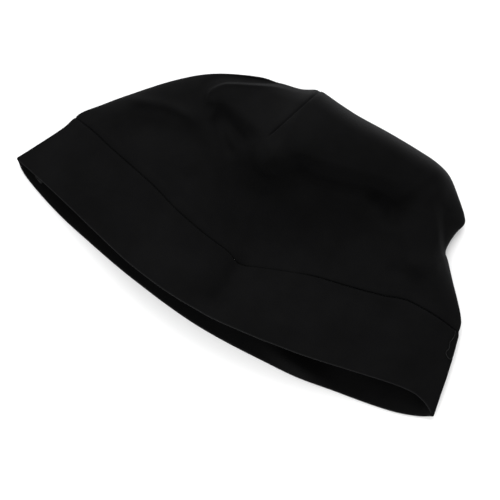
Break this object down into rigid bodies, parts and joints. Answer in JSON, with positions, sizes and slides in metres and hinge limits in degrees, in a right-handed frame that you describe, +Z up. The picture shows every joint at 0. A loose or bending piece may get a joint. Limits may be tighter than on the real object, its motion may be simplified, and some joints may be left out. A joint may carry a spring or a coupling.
{
  "type": "chef skull cap",
  "caption": "Low soft chef cap in black stretch jersey, lying flat on its back: darted two-panel crown sewn to a deep folded band, with an open mouth for the head.",
  "frame": {"origin": "middle of the cap's outline seen from above, on the surface that it lies on; the loose thread end isn't counted", "axes": "+X along the rim's width towards the side seam that holds the loose thread end, +Y from the rim towards the crown's top edge, +Z up from the surface that the back panel lies on"},
  "size_m": [0.268, 0.144, 0.0459],
  "materials": {
    "crown_jersey": "matt black cotton-elastane single jersey, fine vertical wales",
    "band_jersey": "the same black jersey, two plies folded at the rim",
    "overlock_thread": "black spun polyester overlock thread",
    "label_satin": "blank white woven satin tape"
  },
  "bodies": {
    "cap": {"band": "band_jersey", "crown_front": "crown_jersey", "crown_back": "crown_jersey", "band_overlock": "overlock_thread", "side_overlock_left": "overlock_thread", "side_overlock_right": "overlock_thread", "front_dart_overlock": "overlock_thread", "back_dart_overlock": "overlock_thread", "band_closing_stitches": "overlock_thread", "label_stitches": "overlock_thread", "loose_thread_end": "overlock_thread"},
    "label": {"care_label": "label_satin"}
  },
  "joints": [
    {"name": "label_flap", "type": "hinge", "parent": "cap", "child": "label", "pos_m": [0.0015, -0.031, 0.00279], "axis": [-1, 0, 0], "range_deg": [0, 40]}
  ]
}
